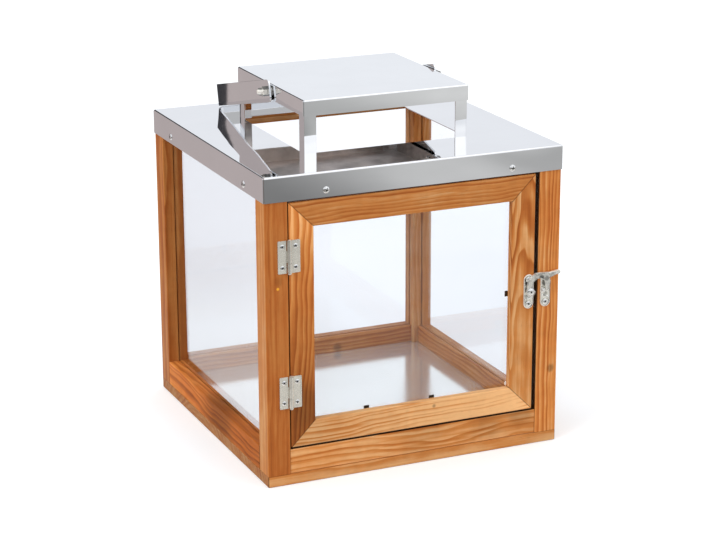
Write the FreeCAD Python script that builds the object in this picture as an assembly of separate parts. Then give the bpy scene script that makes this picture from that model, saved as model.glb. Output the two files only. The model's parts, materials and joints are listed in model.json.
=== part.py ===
# Candle lantern: a square stained-wood frame with three fixed glass panes and a glazed
# door, a polished steel roof tray with a vent, a raised cap over it and a folding bail.
# Millimetres. +X runs to the right along the front, +Y to the back, +Z up.
# The origin is the centre of the flat underside.

import FreeCAD, Part
import math
import os

from FreeCAD import Placement, Rotation, Vector

# Wood frame
frame_side = 248.0
post_side = 18.5
post_length = 235.4
base_thickness = 8.6
rail_height = 20.0
rail_depth = 14.0
top_rail_height = 17.0
front_rail_setback = 1.0
arris_radius = 0.8
dowel_radius = 3.0
dowel_engagement = 7.0
bottom_dowel_height = 8.0
top_dowel_drop = 6.2

# Glass
pane_thickness = 2.0
groove_inset = 10.0
groove_depth = 5.0
groove_play = 0.3
pane_edge_play = 0.6

# Floor plate
floor_lift = 5.4
floor_sheet = 0.8
floor_play = 0.5

# Roof tray, cap and the legs that carry the cap
roof_sheet = 0.7
roof_fit = 0.1
roof_flange = 19.6
roof_bend_radius = 1.4
cap_side = 140.0
cap_sheet = 1.0
cap_flange = 12.6
cap_rise = 29.2
cap_bend_radius = 1.3
leg_width = 10.0
leg_sheet = 1.0
foot_length = 8.0

# Handle: a flat strap bent to a U, turning on a bolt in each side of the cap
strap_width = 18.0
strap_thickness = 1.5
strap_bend_radius = 6.0
strap_overhang = 7.0
strap_end_radius = 4.0
strap_side_play = 0.1
handle_reach = 118.5
handle_rest_gap = 0.3
handle_bore_play = 0.08
washer_thickness = 1.1
washer_radius = 4.5
bolt_radius = 2.0
bolt_head_radius = 4.0
bolt_head_height = 2.4
bolt_end_play = 0.6
nut_across_flats = 7.0
nut_hex_height = 3.6
nut_chamfer = 0.4
nut_dome_radius = 3.1
nut_dome_height = 4.0
nut_bore_depth = 5.4

# Door
door_gap_left = 0.8
door_gap_right = 3.5
door_gap_top = 1.5
door_gap_bottom = 1.6
door_bar_width = 20.0
door_thickness = 14.0
door_lip = 6.0
door_rebate = 6.0
door_pane_play = 0.5
point_width = 4.5
point_sheet = 0.5
point_reach = 1.8
point_grip = 3.0
rail_point_shares = (0.318, 0.588)
stile_point_shares = (0.5,)

# Hinges
hinge_height = 25.4
hinge_half_width = 9.0
leaf_thickness = 0.9
leaf_corner_radius = 0.8
knuckle_radius = 1.7
knuckle_stand_off = 0.25
knuckle_middle_length = 9.0
knuckle_gap = 0.2
knuckle_relief = 0.4
hinge_pin_radius = 0.8
hinge_pin_play = 0.06
pin_head_radius = 1.3
pin_head_height = 0.5
hinge_screw_offset = 5.3
hinge_screw_pitch = 16.4
upper_hinge_inset = 41.1
lower_hinge_inset = 45.2

# Latch
latch_height = 129.0
latch_plate_width = 8.6
latch_plate_length = 28.0
latch_plate_sheet = 1.0
latch_screw_pitch = 20.0
door_plate_edge_gap = 0.8
pivot_offset = 1.1
stud_offset = 2.5
hook_sheet = 1.4
hook_play = 0.4
pivot_radius = 1.5
pivot_play = 0.06
pivot_head_radius = 3.0
pivot_head_height = 0.9
pivot_head_play = 0.1
pivot_grip = 4.0
hook_boss_radius = 3.9
hook_arch_run = 7.2
hook_arch_rise = 4.6
hook_inner_radius = 5.6
hook_outer_radius = 10.4
nose_drop = 5.2
nose_tip_width = 2.2
nose_stud_gap = 0.5
tail_length = 26.0
tail_width = 3.4
tail_root_drop = 4.2
tail_tip_drop = 1.2
stud_radius = 1.6
stud_rounding = 0.6
stud_proud = 0.6
stud_grip = 4.0

# Fasteners
bore_play = 0.05
cross_depth = 0.8
cross_width = 0.7
front_screw_pitch = 155.5
front_screw_shift = 3.0
side_screw_pitch = 165.2
side_screw_shift = -1.2
roof_screw_height = 5.5
roof_screw_head_radius = 3.2
roof_screw_head_height = 1.2
roof_screw_head_rounding = 0.8
roof_screw_radius = 1.5
roof_screw_grip = 7.0
base_screw_inset = 8.0
base_screw_recess = 0.4
base_screw_sink = 2.2
base_screw_head_radius = 3.6
base_screw_radius = 1.8
base_screw_grip = 21.0
small_screw_head_radius = 1.9
small_screw_proud = 0.1
small_screw_radius = 1.0
small_screw_grip = 9.0

# Levels and faces that the pieces share
overrun = 5.0
half_frame = frame_side / 2
post_inner = half_frame - post_side
rail_inner = half_frame - rail_depth
frame_top = base_thickness + post_length
rail_top = base_thickness + rail_height
top_rail_bottom = frame_top - top_rail_height
groove_width = pane_thickness + 2 * groove_play
groove_centre = half_frame - groove_inset
roof_top = frame_top + roof_sheet
roof_bottom = roof_top - roof_flange
roof_inner = half_frame + roof_fit
roof_outer = roof_inner + roof_sheet
half_cap = cap_side / 2
cap_inner = half_cap - cap_sheet
cap_bottom = roof_top + cap_rise
cap_top = cap_bottom + cap_flange
pivot_z = cap_bottom + cap_flange / 2
washer_outer = half_cap + washer_thickness
strap_inner = washer_outer + strap_side_play
strap_outer = strap_inner + strap_thickness
nut_seat = strap_outer + strap_side_play
door_left = -post_inner + door_gap_left
door_right = post_inner - door_gap_right
door_bottom = rail_top + door_gap_bottom
door_top = roof_bottom - door_gap_top
door_front = -half_frame
door_width = door_right - door_left
door_height = door_top - door_bottom
hinge_x = (door_left - post_inner) / 2
hinge_y = door_front - knuckle_stand_off - knuckle_radius
leaf_front = door_front - leaf_thickness
plate_front = door_front - latch_plate_sheet
hook_back = plate_front - hook_play
hook_front = hook_back - hook_sheet
door_plate_x = door_right - door_plate_edge_gap - latch_plate_width / 2
pivot_x = door_plate_x + pivot_offset
arch_x = pivot_x + hook_arch_run
arch_z = latch_height + hook_arch_rise
stud_x = arch_x + hook_inner_radius - stud_radius
keeper_x = stud_x + stud_offset

# At rest the grip's lower edge lies just over the roof behind the cap
grip_drop = pivot_z - roof_top - handle_rest_gap
grip_corner = math.hypot(handle_reach, strap_width / 2)
rest_angle = math.asin(grip_drop / grip_corner) - math.atan2(strap_width / 2, handle_reach)

x_way = Vector(1, 0, 0)
y_way = Vector(0, 1, 0)
z_way = Vector(0, 0, 1)
ends = (-1, 1)


def box(x0, x1, y0, y1, z0, z1):
    """A block between two corners, given in any order."""
    corner = Vector(min(x0, x1), min(y0, y1), min(z0, z1))
    return Part.makeBox(abs(x1 - x0), abs(y1 - y0), abs(z1 - z0), corner)


def rod(radius, start, way, length):
    """A round rod from a point along a direction."""
    return Part.makeCylinder(radius, length, start, way)


def turned(shape, start, way):
    """A shape made upright on the origin, moved to a point and turned to a direction."""
    placed = shape.copy()
    placed.Placement = Placement(start, Rotation(z_way, way))
    return placed


def same(a, b):
    """True where two lengths are equal apart from rounding."""
    return math.isclose(a, b, abs_tol=arris_radius / frame_side)


def runs_along(edge, way):
    """True for a straight edge that runs along a direction."""
    if not isinstance(edge.Curve, Part.Line):
        return False
    return same(abs(edge.Curve.Direction.dot(way)), 1)


def eased(shape, radius, wanted):
    """A shape with its wanted edges rounded."""
    return shape.makeFillet(radius, [edge for edge in shape.Edges if wanted(edge)])


def cut_all(shape, tools):
    """A shape with each of the tools taken out of it."""
    for tool in tools:
        shape = shape.cut(tool)
    return shape


def prism_xz(points, y0, y1):
    """An upright outline of straight runs, given a thickness along Y."""
    corners = [Vector(x, y0, z) for x, z in points]
    outline = Part.makePolygon(corners + corners[:1])
    return Part.Face(outline).extrude(Vector(0, y1 - y0, 0))


def save(name, *solids):
    """Write the solids of one node."""
    shape = solids[0] if len(solids) == 1 else Part.makeCompound(list(solids))
    shape.exportStep("parts/" + name + ".step")


# Screws stand upright on the origin with the head's seat at the level zero

def cross_recess(radius, top):
    """The cross cut into a screw head whose top is at a level."""
    reach = radius / 2
    half = cross_width / 2
    floor = top - cross_depth
    return [
        box(-reach, reach, -half, half, floor, top + overrun),
        box(-half, half, -reach, reach, floor, top + overrun),
    ]


def domed_screw():
    """A round-headed screw for the roof's flange."""
    top = roof_screw_head_height
    head = Part.makeCylinder(roof_screw_head_radius, top)
    head = eased(head, roof_screw_head_rounding, lambda edge: same(edge.CenterOfMass.z, top))
    grip = roof_sheet + roof_fit + roof_screw_grip
    screw = head.fuse(rod(roof_screw_radius, Vector(0, 0, 0), -z_way, grip))
    return cut_all(screw, cross_recess(roof_screw_head_radius, top))


def sunk_screw(head_radius, sink, proud, radius, grip):
    """A flat-headed screw whose cone fills its countersink and whose face stands proud."""
    cone = Part.makeCone(radius, head_radius, sink, Vector(0, 0, -sink))
    face = Part.makeCylinder(head_radius, proud)
    shank = rod(radius, Vector(0, 0, -sink), -z_way, grip)
    return cut_all(cone.fuse([face, shank]), cross_recess(head_radius, proud))


def countersink(head_radius, sink, radius, start, way):
    """The cone that a flat head fills, from a point on the face it faces out of."""
    cone = Part.makeCone(radius, head_radius, sink, Vector(0, 0, -sink))
    return turned(cone, start, way)


def pilot(radius, start, way, length):
    """The hole that a screw or dowel fills."""
    return rod(radius + bore_play, start, way, length)


# Places of the fasteners, each a point and the way that it faces or runs

roof_screw_z = roof_bottom + roof_screw_height
roof_screws = []
for side in ends:
    for along in ends:
        x = front_screw_shift + along * front_screw_pitch / 2
        y = side_screw_shift + along * side_screw_pitch / 2
        roof_screws.append((Vector(x, side * roof_outer, roof_screw_z), y_way * side))
        roof_screws.append((Vector(side * roof_outer, y, roof_screw_z), x_way * side))

base_screw_place = half_frame - base_screw_inset
base_screws = [Vector(a * base_screw_place, b * base_screw_place, 0) for a in ends for b in ends]

front_rail_front = -half_frame + front_rail_setback
dowel_rows = (
    (base_thickness + bottom_dowel_height, front_rail_front + rail_depth / 2),
    (frame_top - top_dowel_drop, -half_frame + rail_depth / 2),
)
dowels = []
for level, front_y in dowel_rows:
    for end in ends:
        start = end * (post_inner - dowel_engagement)
        dowels.append((Vector(start, front_y, level), x_way * end))
        dowels.append((Vector(start, half_frame - rail_depth / 2, level), x_way * end))
        for side in ends:
            dowels.append((Vector(side * (half_frame - rail_depth / 2), start, level), y_way * end))

hinge_levels = {"upper": door_top - upper_hinge_inset, "lower": door_bottom + lower_hinge_inset}


def hinge_screws(side):
    """The places of the screws in both leaves on one side of the hinge line."""
    x = hinge_x + side * hinge_screw_offset
    shift = hinge_screw_pitch / 2
    return [Vector(x, leaf_front, z + end * shift) for z in hinge_levels.values() for end in ends]


def latch_screws(centre_x):
    """The places of the two screws of a latch plate."""
    return [Vector(centre_x, plate_front, latch_height + end * latch_screw_pitch / 2) for end in ends]


def small_pilots(places):
    """The pilot holes of the small screws of the hinges and the latch."""
    return [pilot(small_screw_radius, place, y_way, leaf_thickness + small_screw_grip) for place in places]


# Wood frame

def base_board():
    """The board under the posts, with countersunk holes from below."""
    board = box(-half_frame, half_frame, -half_frame, half_frame, 0, base_thickness)
    board = eased(board, arris_radius, lambda edge: not same(edge.CenterOfMass.z, base_thickness))
    for start in base_screws:
        seat = start + z_way * base_screw_recess
        board = cut_all(board, [
            pilot(base_screw_radius, start, z_way, base_thickness),
            rod(base_screw_head_radius, start, z_way, base_screw_recess),
            countersink(base_screw_head_radius, base_screw_sink, base_screw_radius, seat, -z_way),
        ])
    return board


def pane_groove(way, side, a0, a1, z0, z1):
    """The slot for a pane that runs along a direction on one side of the frame."""
    centre = side * groove_centre
    half = groove_width / 2
    if way is x_way:
        return box(a0, a1, centre - half, centre + half, z0, z1)
    return box(centre - half, centre + half, a0, a1, z0, z1)


def dowel_holes():
    """The holes for all the dowels, half in a post and half in a rail."""
    return [pilot(dowel_radius, start, way, 2 * dowel_engagement) for start, way in dowels]


def post(x_side, y_side):
    """A corner post with its pane grooves and the holes bored in it."""
    wood = box(x_side * post_inner, x_side * half_frame, y_side * post_inner, y_side * half_frame,
               base_thickness, frame_top)
    wood = eased(wood, arris_radius, lambda edge: runs_along(edge, z_way))
    mouth = post_inner - overrun
    floor = post_inner + groove_depth
    tools = [pane_groove(y_way, x_side, y_side * mouth, y_side * floor, base_thickness, frame_top)]
    if y_side > 0:
        tools.append(pane_groove(x_way, y_side, x_side * mouth, x_side * floor, base_thickness, frame_top))
    if y_side < 0:
        tools += small_pilots(hinge_screws(-1) + latch_screws(keeper_x))
        tools.append(rod(stud_radius, Vector(stud_x, door_front, latch_height), y_way, stud_grip))
    tools += [pilot(base_screw_radius, start, z_way, base_thickness + base_screw_grip) for start in base_screws]
    return cut_all(wood, tools + dowel_holes())


def rail(way, side, upper):
    """A rail between two posts, at the bottom or the top of the frame."""
    front = way is x_way and side < 0
    setback = front_rail_setback if front and not upper else 0
    outer = side * (half_frame - setback)
    inner = side * (rail_inner - setback)
    if upper:
        z0, z1 = top_rail_bottom, frame_top
        slot = (top_rail_bottom - overrun, top_rail_bottom + groove_depth)
    else:
        z0, z1 = base_thickness, rail_top
        slot = (rail_top - groove_depth, rail_top + overrun)
    if way is x_way:
        wood = box(-post_inner, post_inner, outer, inner, z0, z1)
    else:
        wood = box(outer, inner, -post_inner, post_inner, z0, z1)
    wood = eased(wood, arris_radius, lambda edge: runs_along(edge, way))
    tools = dowel_holes()
    if not front:
        tools.append(pane_groove(way, side, -half_frame, half_frame, slot[0], slot[1]))
    if upper:
        depth = roof_sheet + roof_fit + roof_screw_grip
        tools += [pilot(roof_screw_radius, start, -outward, depth) for start, outward in roof_screws]
    return cut_all(wood, tools)


# Glass and floor

def pane(way, side):
    """A fixed pane that stands on the floor of its rail's groove."""
    reach = post_inner + groove_depth - pane_edge_play
    z0 = rail_top - groove_depth
    z1 = top_rail_bottom + groove_depth - pane_edge_play
    centre = side * groove_centre
    half = pane_thickness / 2
    if way is x_way:
        return box(-reach, reach, centre - half, centre + half, z0, z1)
    return box(centre - half, centre + half, -reach, reach, z0, z1)


def floor_plate():
    """A shallow upturned tray between the bottom rails, notched round the posts."""
    x = rail_inner - floor_play
    y0 = front_rail_front + rail_depth + floor_play
    top = base_thickness + floor_lift
    plate = box(-x, x, y0, x, base_thickness, top)
    inside = box(-x + floor_sheet, x - floor_sheet, y0 + floor_sheet, x - floor_sheet,
                 base_thickness - overrun, top - floor_sheet)
    notch = post_inner - floor_play
    corners = [box(a * notch, a * half_frame, b * notch, b * half_frame, 0, frame_top)
               for a in ends for b in ends]
    return cut_all(plate, [inside] + corners)


# Roof, cap and legs

def tray(outer, sheet, bend_radius, z0, z1):
    """A square tray of bent sheet, upside down."""
    shell = box(-outer, outer, -outer, outer, z0, z1)
    shell = eased(shell, bend_radius, lambda edge: same(edge.CenterOfMass.z, z1))
    inner = outer - sheet
    return shell.cut(box(-inner, inner, -inner, inner, z0 - overrun, z1 - sheet))


def roof_tray():
    """The roof, with its vent and the holes for the screws in its flange."""
    roof = tray(roof_outer, roof_sheet, roof_bend_radius, roof_bottom, roof_top)
    vent = box(-cap_inner, cap_inner, -cap_inner, cap_inner, roof_bottom, roof_top + overrun)
    holes = [pilot(roof_screw_radius, start, -outward, roof_sheet) for start, outward in roof_screws]
    return cut_all(roof, [vent] + holes)


def cap_tray():
    """The raised cap, with a bolt hole in each side."""
    cap = tray(half_cap, cap_sheet, cap_bend_radius, cap_bottom, cap_top)
    return cap.cut(pilot(bolt_radius, Vector(-cap_side, 0, pivot_z), x_way, 2 * cap_side))


def cap_leg(x_side, y_side):
    """An angle in a corner of the vent, with two feet turned out under the roof."""
    x_out = x_side * cap_inner
    y_out = y_side * cap_inner
    x_in = x_side * (cap_inner - leg_width)
    y_in = y_side * (cap_inner - leg_width)
    foot_bottom = frame_top - leg_sheet
    angle = box(x_out, x_in, y_out, y_in, foot_bottom, cap_top - cap_sheet)
    angle = angle.cut(box(x_out - x_side * leg_sheet, x_in - x_side * overrun,
                          y_out - y_side * leg_sheet, y_in - y_side * overrun,
                          foot_bottom - overrun, cap_top))
    x_foot = box(x_out - x_side * leg_sheet, x_out + x_side * foot_length, y_out, y_in, foot_bottom, frame_top)
    y_foot = box(x_out, x_in, y_out - y_side * leg_sheet, y_out + y_side * foot_length, foot_bottom, frame_top)
    return angle.fuse([x_foot, y_foot]).removeSplitter()


# Handle and its pivots

def handle():
    """The bail, bent from one strap, laid back on the roof."""
    half = strap_width / 2
    outside = box(-strap_outer, strap_outer, -strap_overhang, handle_reach, -half, half)
    outside = eased(outside, strap_bend_radius,
                    lambda edge: runs_along(edge, z_way) and same(edge.CenterOfMass.y, handle_reach))
    reach = handle_reach - strap_thickness
    inside = box(-strap_inner, strap_inner, -strap_overhang - handle_reach, reach, -half, half)
    inside = eased(inside, strap_bend_radius - strap_thickness,
                   lambda edge: runs_along(edge, z_way) and same(edge.CenterOfMass.y, reach))
    strap = outside.cut(inside)
    strap = eased(strap, strap_end_radius,
                  lambda edge: runs_along(edge, x_way) and same(edge.CenterOfMass.y, -strap_overhang))
    bore = rod(bolt_radius + handle_bore_play, Vector(-cap_side, 0, 0), x_way, 2 * cap_side)
    strap = strap.cut(bore)
    strap.Placement = Placement(Vector(0, 0, pivot_z), Rotation(x_way, -math.degrees(rest_angle)))
    return strap


def handle_bolt(side):
    """A round-headed bolt from inside the cap out into its nut."""
    head = rod(bolt_head_radius, Vector(side * cap_inner, 0, pivot_z), -x_way * side, bolt_head_height)
    far = side * (cap_inner - bolt_head_height)
    head = eased(head, bolt_head_height / 2, lambda edge: same(edge.CenterOfMass.x, far))
    length = nut_seat + nut_bore_depth - bolt_end_play - cap_inner
    return head.fuse(rod(bolt_radius, Vector(side * cap_inner, 0, pivot_z), x_way * side, length))


def handle_washer(side):
    """The washer between the cap and the strap."""
    start = Vector(side * half_cap, 0, pivot_z)
    washer = rod(washer_radius, start, x_way * side, washer_thickness)
    return washer.cut(pilot(bolt_radius, start, x_way * side, washer_thickness))


def acorn_nut(side):
    """A domed nut outside the strap."""
    corner = nut_across_flats / math.sqrt(3)
    turns = [math.radians(60 * k) for k in range(7)]
    outline = Part.makePolygon([Vector(corner * math.cos(t), corner * math.sin(t), 0) for t in turns])
    hexagon = Part.Face(outline).extrude(Vector(0, 0, nut_hex_height))
    collar = Part.makeCylinder(corner, nut_hex_height)
    collar = collar.makeChamfer(nut_chamfer, [edge for edge in collar.Edges
                                              if same(edge.CenterOfMass.z, nut_hex_height)])
    neck = nut_dome_height - nut_dome_radius
    dome = Part.makeCylinder(nut_dome_radius, neck, Vector(0, 0, nut_hex_height))
    crown = Part.makeSphere(nut_dome_radius, Vector(0, 0, nut_hex_height + neck), z_way, 0, 90, 360)
    nut = hexagon.common(collar).fuse([dome, crown])
    nut = nut.cut(pilot(bolt_radius, Vector(0, 0, 0), z_way, nut_bore_depth))
    return turned(nut, Vector(side * nut_seat, 0, pivot_z), x_way * side)


# Door: each bar and its glazing points are made lying along X with the opening above, then placed

bar_places = {
    "door_rail_bottom": (Vector(door_left, door_front, door_bottom), 0, door_width, rail_point_shares),
    "door_rail_top": (Vector(door_right, door_front, door_top), 180, door_width, rail_point_shares),
    "door_stile_left": (Vector(door_left, door_front, door_top), 90, door_height, stile_point_shares),
    "door_stile_right": (Vector(door_right, door_front, door_bottom), -90, door_height, stile_point_shares),
}


def into_door(shape, name):
    """A shape made with a bar, moved to that bar's place in the door."""
    start, angle = bar_places[name][:2]
    placed = shape.copy()
    placed.Placement = Placement(start, Rotation(y_way, angle))
    return placed


def glazing_points(name):
    """The flat points that hold the pane, driven into one bar behind the glass."""
    length, shares = bar_places[name][2:]
    wall = door_bar_width - door_rebate
    tip = door_bar_width + point_reach
    back = door_lip + pane_thickness
    points = []
    for share in shares:
        x = length * share
        half = point_width / 2
        outline = ((x - half, tip), (x - half, wall), (x, wall - point_grip), (x + half, wall), (x + half, tip))
        points.append(into_door(prism_xz(outline, back, back + point_sheet), name))
    return points


def door_bar(name):
    """A mitred bar of the door frame, rebated at the back for the glass."""
    length = bar_places[name][2]
    w = door_bar_width
    outline = ((0, 0), (length, 0), (length - w, w), (w, w))
    bar = prism_xz(outline, 0, door_thickness)
    bar = eased(bar, arris_radius, lambda edge: runs_along(edge, x_way) and same(edge.CenterOfMass.y, 0))
    bar = bar.cut(box(0, length, door_lip, door_thickness + overrun, w - door_rebate, w + overrun))
    tools = glazing_points(name) + small_pilots(hinge_screws(1) + latch_screws(door_plate_x))
    tools.append(rod(pivot_radius, Vector(pivot_x, door_front, latch_height), y_way, pivot_grip))
    return cut_all(into_door(bar, name), tools)


def door_pane():
    """The door's pane, held in the rebate against the lip."""
    edge = door_bar_width - door_rebate + door_pane_play
    y0 = door_front + door_lip
    return box(door_left + edge, door_right - edge, y0, y0 + pane_thickness, door_bottom + edge, door_top - edge)


# Hinges

def hinge_leaf(side, level):
    """One leaf: the post's carries the middle knuckle, the door's the outer two."""
    half = hinge_height / 2
    middle = knuckle_middle_length / 2
    if side < 0:
        spans = ((-middle, middle),)
        bore = hinge_pin_radius
    else:
        spans = ((-half, -middle - knuckle_gap), (middle + knuckle_gap, half))
        bore = hinge_pin_radius + hinge_pin_play
    far = hinge_x + side * hinge_half_width
    near = hinge_x + side * (knuckle_radius + knuckle_relief)
    leaf = box(near, far, leaf_front, door_front, level - half, level + half)
    leaf = eased(leaf, leaf_corner_radius,
                 lambda edge: runs_along(edge, y_way) and same(edge.CenterOfMass.x, far))
    for z0, z1 in spans:
        tongue = box(hinge_x, near, leaf_front, door_front, level + z0, level + z1)
        barrel = rod(knuckle_radius, Vector(hinge_x, hinge_y, level + z0), z_way, z1 - z0)
        leaf = leaf.fuse([tongue, barrel])
    tools = [rod(bore, Vector(hinge_x, hinge_y, level - half), z_way, hinge_height)]
    for place in hinge_screws(side):
        tools.append(countersink(small_screw_head_radius, leaf_thickness, small_screw_radius, place, -y_way))
    return cut_all(leaf.removeSplitter(), tools)


def hinge_pin(level):
    """The pin through the three knuckles, with a head over each end."""
    z0 = level - hinge_height / 2 - knuckle_gap
    length = hinge_height + 2 * knuckle_gap
    pin = rod(hinge_pin_radius, Vector(hinge_x, hinge_y, z0), z_way, length)
    foot = rod(pin_head_radius, Vector(hinge_x, hinge_y, z0), -z_way, pin_head_height)
    head = rod(pin_head_radius, Vector(hinge_x, hinge_y, z0 + length), z_way, pin_head_height)
    return pin.fuse([foot, head])


def small_screw(place, sheet):
    """A countersunk wood screw through a leaf or plate."""
    screw = sunk_screw(small_screw_head_radius, sheet, small_screw_proud, small_screw_radius, small_screw_grip - sheet)
    return turned(screw, place, -y_way)


# Latch

def latch_plate(centre_x, holes):
    """A flat plate with round ends, pierced for its screws and its stud or pivot."""
    run = (latch_plate_length - latch_plate_width) / 2
    radius = latch_plate_width / 2
    z0 = latch_height - run
    z1 = latch_height + run
    plate = box(centre_x - radius, centre_x + radius, plate_front, door_front, z0, z1)
    for z in (z0, z1):
        plate = plate.fuse(rod(radius, Vector(centre_x, plate_front, z), y_way, latch_plate_sheet))
    for place in latch_screws(centre_x):
        cone = countersink(small_screw_head_radius, latch_plate_sheet, small_screw_radius, place, -y_way)
        holes.append(cone)
    return cut_all(plate.removeSplitter(), holes)


def latch_hook():
    """The swinging hook: a boss, an arch over the gap, a nose beyond the stud and a thumb tail."""
    span = hook_outer_radius - hook_inner_radius
    centre = Vector(arch_x, hook_front, arch_z)
    arch = rod(hook_outer_radius, centre, y_way, hook_sheet)
    arch = arch.cut(box(arch_x - frame_side, arch_x + frame_side, hook_front, hook_back, 0, arch_z))
    left = arch_x - hook_outer_radius
    arm = box(left, left + span, hook_front, hook_back, latch_height, arch_z)
    boss = rod(hook_boss_radius, Vector(pivot_x, hook_front, latch_height), y_way, hook_sheet)
    inner = arch_x + hook_inner_radius
    tip = arch_z - nose_drop
    nose = prism_xz(((inner, arch_z), (inner + span, arch_z), (inner + nose_stud_gap + nose_tip_width, tip),
                     (inner + nose_stud_gap, tip)), hook_front, hook_back)
    crest = arch_z + hook_outer_radius
    root = crest - tail_root_drop
    tail_tip = crest - tail_tip_drop
    tail_end = pivot_x + tail_length - tail_width / 2
    tail = prism_xz(((arch_x, crest), (arch_x, root), (arch_x + hook_inner_radius, root - tail_width / 2),
                     (tail_end, tail_tip - tail_width), (tail_end, tail_tip)), hook_front, hook_back)
    thumb = rod(tail_width / 2, Vector(tail_end, hook_front, tail_tip - tail_width / 2), y_way, hook_sheet)
    tools = [
        rod(hook_inner_radius, centre, y_way, hook_sheet),
        rod(pivot_radius + pivot_play, Vector(pivot_x, hook_front, latch_height), y_way, hook_sheet),
    ]
    return cut_all(arch.fuse([arm, boss, nose, tail, thumb]).removeSplitter(), tools)


def latch_pivot():
    """The rivet that the hook turns on."""
    seat = hook_front - pivot_head_play
    length = door_front + pivot_grip - seat
    head = rod(pivot_head_radius, Vector(pivot_x, seat, latch_height), -y_way, pivot_head_height)
    far = seat - pivot_head_height
    head = eased(head, pivot_head_height / 2, lambda edge: same(edge.CenterOfMass.y, far))
    return head.fuse(rod(pivot_radius, Vector(pivot_x, seat, latch_height), y_way, length))


def keeper_stud():
    """The plain stud that the hook's nose drops behind."""
    front = hook_front - stud_proud
    length = door_front + stud_grip - front
    stud = rod(stud_radius, Vector(stud_x, front, latch_height), y_way, length)
    return eased(stud, stud_rounding, lambda edge: same(edge.CenterOfMass.y, front))


os.makedirs("parts", exist_ok=True)

save("base_board", base_board())
for x_side, x_name in zip(ends, ("left", "right")):
    for y_side, y_name in zip(ends, ("front", "back")):
        save("post_" + y_name + "_" + x_name, post(x_side, y_side))
        save("cap_leg_" + y_name + "_" + x_name, cap_leg(x_side, y_side))
for upper, level in ((False, "bottom"), (True, "top")):
    for side, name in zip(ends, ("front", "back")):
        save(level + "_rail_" + name, rail(x_way, side, upper))
    for side, name in zip(ends, ("left", "right")):
        save(level + "_rail_" + name, rail(y_way, side, upper))
save("frame_dowels", *[rod(dowel_radius, start, way, 2 * dowel_engagement) for start, way in dowels])

base_grip = base_thickness + base_screw_grip - base_screw_recess - base_screw_sink
base_screw = sunk_screw(base_screw_head_radius, base_screw_sink, bore_play, base_screw_radius, base_grip)
save("base_screws", *[turned(base_screw, start + z_way * base_screw_recess, -z_way) for start in base_screws])

save("pane_left", pane(y_way, -1))
save("pane_right", pane(y_way, 1))
save("pane_back", pane(x_way, 1))
save("floor_plate", floor_plate())

save("roof_tray", roof_tray())
save("roof_screws", *[turned(domed_screw(), start, outward) for start, outward in roof_screws])
save("cap_tray", cap_tray())

save("handle", handle())
save("handle_bolts", *[handle_bolt(side) for side in ends])
save("handle_washers", *[handle_washer(side) for side in ends])
save("handle_acorn_nuts", *[acorn_nut(side) for side in ends])

for name in bar_places:
    save(name, door_bar(name))
save("door_pane", door_pane())
save("glazing_points", *[point for name in bar_places for point in glazing_points(name)])

for name, level in hinge_levels.items():
    save("hinge_" + name + "_post_leaf", hinge_leaf(-1, level))
    save("hinge_" + name + "_door_leaf", hinge_leaf(1, level))
save("hinge_pins", *[hinge_pin(level) for level in hinge_levels.values()])
save("hinge_post_screws", *[small_screw(place, leaf_thickness) for place in hinge_screws(-1)])
save("hinge_door_screws", *[small_screw(place, leaf_thickness) for place in hinge_screws(1)])

pivot_hole = pilot(pivot_radius, Vector(pivot_x, plate_front, latch_height), y_way, latch_plate_sheet)
stud_hole = pilot(stud_radius, Vector(stud_x, plate_front, latch_height), y_way, latch_plate_sheet)
save("latch_plate", latch_plate(door_plate_x, [pivot_hole]))
save("latch_plate_screws", *[small_screw(place, latch_plate_sheet) for place in latch_screws(door_plate_x)])
save("latch_pivot", latch_pivot())
save("latch_hook", latch_hook())
save("keeper_plate", latch_plate(keeper_x, [stud_hole]))
save("keeper_stud", keeper_stud())
save("keeper_screws", *[small_screw(place, latch_plate_sheet) for place in latch_screws(keeper_x)])
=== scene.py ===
"""Candle lantern: its finishes, its fine pieces, the floor, the light and the camera."""

import json
import logging
import math
from contextlib import contextmanager
from dataclasses import dataclass
from enum import Enum
from functools import cache
from typing import Callable, Iterator, Optional, Union

import bpy
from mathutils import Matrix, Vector


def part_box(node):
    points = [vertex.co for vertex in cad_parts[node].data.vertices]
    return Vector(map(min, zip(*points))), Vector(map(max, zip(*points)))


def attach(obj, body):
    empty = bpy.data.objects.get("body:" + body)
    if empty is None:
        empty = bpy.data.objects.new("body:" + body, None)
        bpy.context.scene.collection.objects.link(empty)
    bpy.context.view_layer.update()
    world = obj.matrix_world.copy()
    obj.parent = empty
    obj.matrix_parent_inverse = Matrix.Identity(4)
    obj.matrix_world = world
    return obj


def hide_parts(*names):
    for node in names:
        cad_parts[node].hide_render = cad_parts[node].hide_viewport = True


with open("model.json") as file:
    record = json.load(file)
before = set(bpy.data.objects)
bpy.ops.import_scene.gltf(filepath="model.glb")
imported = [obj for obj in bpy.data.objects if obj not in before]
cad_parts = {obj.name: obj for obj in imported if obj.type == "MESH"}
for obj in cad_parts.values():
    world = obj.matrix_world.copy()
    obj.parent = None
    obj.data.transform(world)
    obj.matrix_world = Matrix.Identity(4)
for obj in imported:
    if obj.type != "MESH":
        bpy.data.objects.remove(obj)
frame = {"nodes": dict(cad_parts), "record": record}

LOG = logging.getLogger("lantern")
MM = 0.001
TINY = 0.001 * MM
DEGREES = 180.0 / math.pi
SLANT = math.sqrt(0.5)
ORIGIN = (0.0, 0.0, 0.0)
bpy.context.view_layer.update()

Colour = tuple[float, float, float]
Place = tuple[float, float, float]
Pair = tuple[float, float]
Number = Union[float, "Value"]
Owner = Union[bpy.types.Material, bpy.types.World]


class Axis(Enum):
    """The direction that a length of wood runs along, with the two directions across it."""

    X = ("X", "Y", "Z")
    Y = ("Y", "X", "Z")
    Z = ("Z", "X", "Y")


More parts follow.
